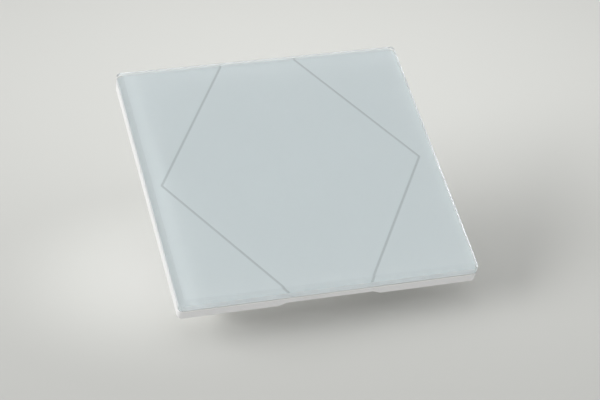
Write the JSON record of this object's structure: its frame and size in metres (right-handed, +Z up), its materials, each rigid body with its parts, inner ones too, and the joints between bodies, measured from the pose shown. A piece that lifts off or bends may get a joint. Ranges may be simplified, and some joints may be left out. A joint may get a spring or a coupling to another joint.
{
  "type": "touch light switch",
  "caption": "Square glass touch light switch with chevron zone lines on a slim carrier that pulls off a wall frame, with a pluggable wire terminal behind.",
  "frame": {"origin": "middle of the wall frame's back, in the plane of the wall", "axes": "+Z up, +X to the right seen from the front, -Y out of the wall towards the user"},
  "size_m": [0.088, 0.0192, 0.088],
  "materials": {
    "glass": "clear toughened glass, polished and bevelled",
    "print": "pale ceramic print behind glass",
    "line_print": "grey ceramic print behind glass",
    "tape": "double-sided tape",
    "white_plastic": "fine moulded grain",
    "cover_plastic": "fine moulded grain",
    "board": "solder mask on glass fibre board",
    "copper": "bare copper",
    "chip": "moulded chip body",
    "tin": "tinned metal",
    "ferrite": "pressed ferrite",
    "plug_plastic": "moulded plastic",
    "header_plastic": "moulded plastic",
    "button_plastic": "moulded plastic",
    "zinc_steel": "zinc plated",
    "spring_steel": "rolled spring steel",
    "screw_steel": "zinc plated"
  },
  "bodies": {
    "wall_frame": {"mounting_frame": "zinc_steel", "retaining_springs": "spring_steel", "spring_rivets": "screw_steel"},
    "touch_front": {"glass_panel": "glass", "print_layer": "print", "zone_lines": "line_print", "adhesive_ring": "tape", "adhesive_sheet": "tape", "carrier_frame": "white_plastic", "touch_board": "board", "touch_electrodes": "copper", "touch_controller": "chip", "main_controller": "chip", "clock_crystal": "tin", "bus_driver": "chip", "surge_diode": "chip", "voltage_regulator": "chip", "power_choke": "ferrite", "board_capacitors": "tin", "chip_resistors": "chip", "click_sounder": "chip", "terminal_header": "header_plastic", "header_pins": "tin", "rear_cover": "cover_plastic", "cover_screws": "screw_steel"},
    "terminal_plug": {"plug_body": "plug_plastic", "plug_contacts": "copper", "clamp_springs": "spring_steel"},
    "wire_release_1": {"release_button_1": "button_plastic"},
    "wire_release_2": {"release_button_2": "button_plastic"},
    "wire_release_3": {"release_button_3": "button_plastic"},
    "wire_release_4": {"release_button_4": "button_plastic"}
  },
  "joints": [
    {"name": "front_pull_off", "type": "slide", "parent": "wall_frame", "child": "touch_front", "axis": [0, -1, 0], "range_m": [0, 0.02]},
    {"name": "plug_pull_out", "type": "slide", "parent": "touch_front", "child": "terminal_plug", "axis": [0, 1, 0], "range_m": [0, 0.01]},
    {"name": "wire_release_1_press", "type": "slide", "parent": "terminal_plug", "child": "wire_release_1", "axis": [0, -1, 0], "range_m": [0, 0.0008], "stiffness_N_per_m": 800},
    {"name": "wire_release_2_press", "type": "slide", "parent": "terminal_plug", "child": "wire_release_2", "axis": [0, -1, 0], "range_m": [0, 0.0008], "stiffness_N_per_m": 800},
    {"name": "wire_release_3_press", "type": "slide", "parent": "terminal_plug", "child": "wire_release_3", "axis": [0, -1, 0], "range_m": [0, 0.0008], "stiffness_N_per_m": 800},
    {"name": "wire_release_4_press", "type": "slide", "parent": "terminal_plug", "child": "wire_release_4", "axis": [0, -1, 0], "range_m": [0, 0.0008], "stiffness_N_per_m": 800}
  ]
}
